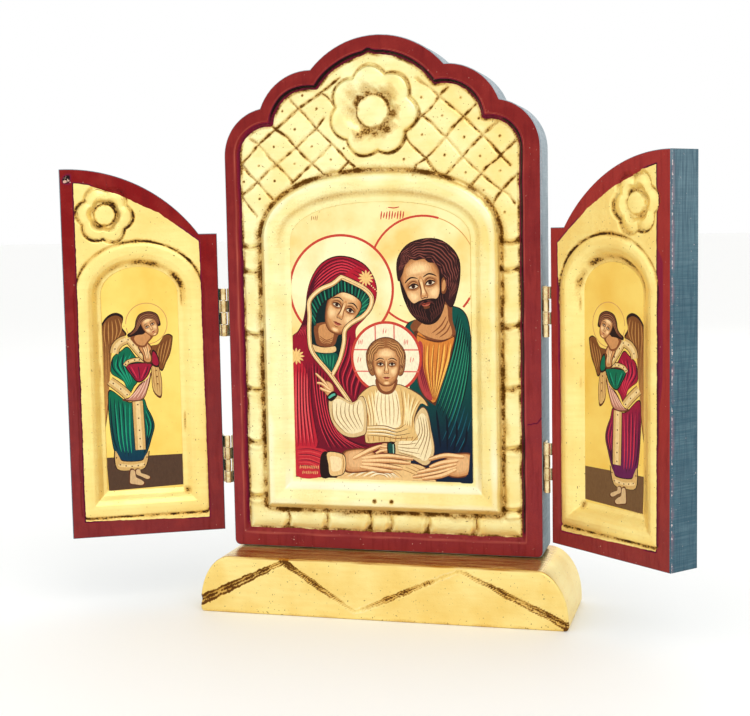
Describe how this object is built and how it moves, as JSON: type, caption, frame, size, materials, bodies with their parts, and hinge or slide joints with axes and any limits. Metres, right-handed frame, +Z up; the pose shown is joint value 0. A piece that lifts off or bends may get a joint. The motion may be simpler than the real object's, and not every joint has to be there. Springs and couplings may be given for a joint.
{
  "type": "folding devotional icon",
  "caption": "Small standing wooden icon that folds: a carved and gilded arched panel on a foot, with two hinged carved doors, each with a painted picture.",
  "frame": {"origin": "middle of the foot's underside", "axes": "+Z up, the carved front of the panel faces -Y, +X to the right as one looks at the front"},
  "size_m": [0.3246, 0.084, 0.2932],
  "materials": {
    "foot_gilding": "wood gilded with pale gold leaf, antiqued in the cuts",
    "panel_gilding": "carved wood gilded with pale gold leaf, dark red rim, blue-grey painted sides",
    "door_gilding": "carved wood gilded with gold leaf, dark red rim, blue-grey painted sides",
    "hinge_brass": "plain brass"
  },
  "bodies": {
    "stand": {"foot": "foot_gilding", "panel": "panel_gilding", "hinge_left_lower_panel_leaf": "hinge_brass", "hinge_left_lower_pin": "hinge_brass", "hinge_left_upper_panel_leaf": "hinge_brass", "hinge_left_upper_pin": "hinge_brass", "hinge_right_lower_panel_leaf": "hinge_brass", "hinge_right_lower_pin": "hinge_brass", "hinge_right_upper_panel_leaf": "hinge_brass", "hinge_right_upper_pin": "hinge_brass"},
    "door_left": {"door_left": "door_gilding", "hinge_left_lower_door_leaf": "hinge_brass", "hinge_left_upper_door_leaf": "hinge_brass"},
    "door_right": {"door_right": "door_gilding", "hinge_right_lower_door_leaf": "hinge_brass", "hinge_right_upper_door_leaf": "hinge_brass"}
  },
  "joints": [
    {"name": "door_left_hinge", "type": "hinge", "parent": "stand", "child": "door_left", "pos_m": [-0.0875, -0.0036, 0.125], "axis": [0, 0, -1], "range_deg": [-152, 28]},
    {"name": "door_right_hinge", "type": "hinge", "parent": "stand", "child": "door_right", "pos_m": [0.0823, -0.0036, 0.125], "axis": [0, 0, 1], "range_deg": [-139.5, 40.5]}
  ]
}
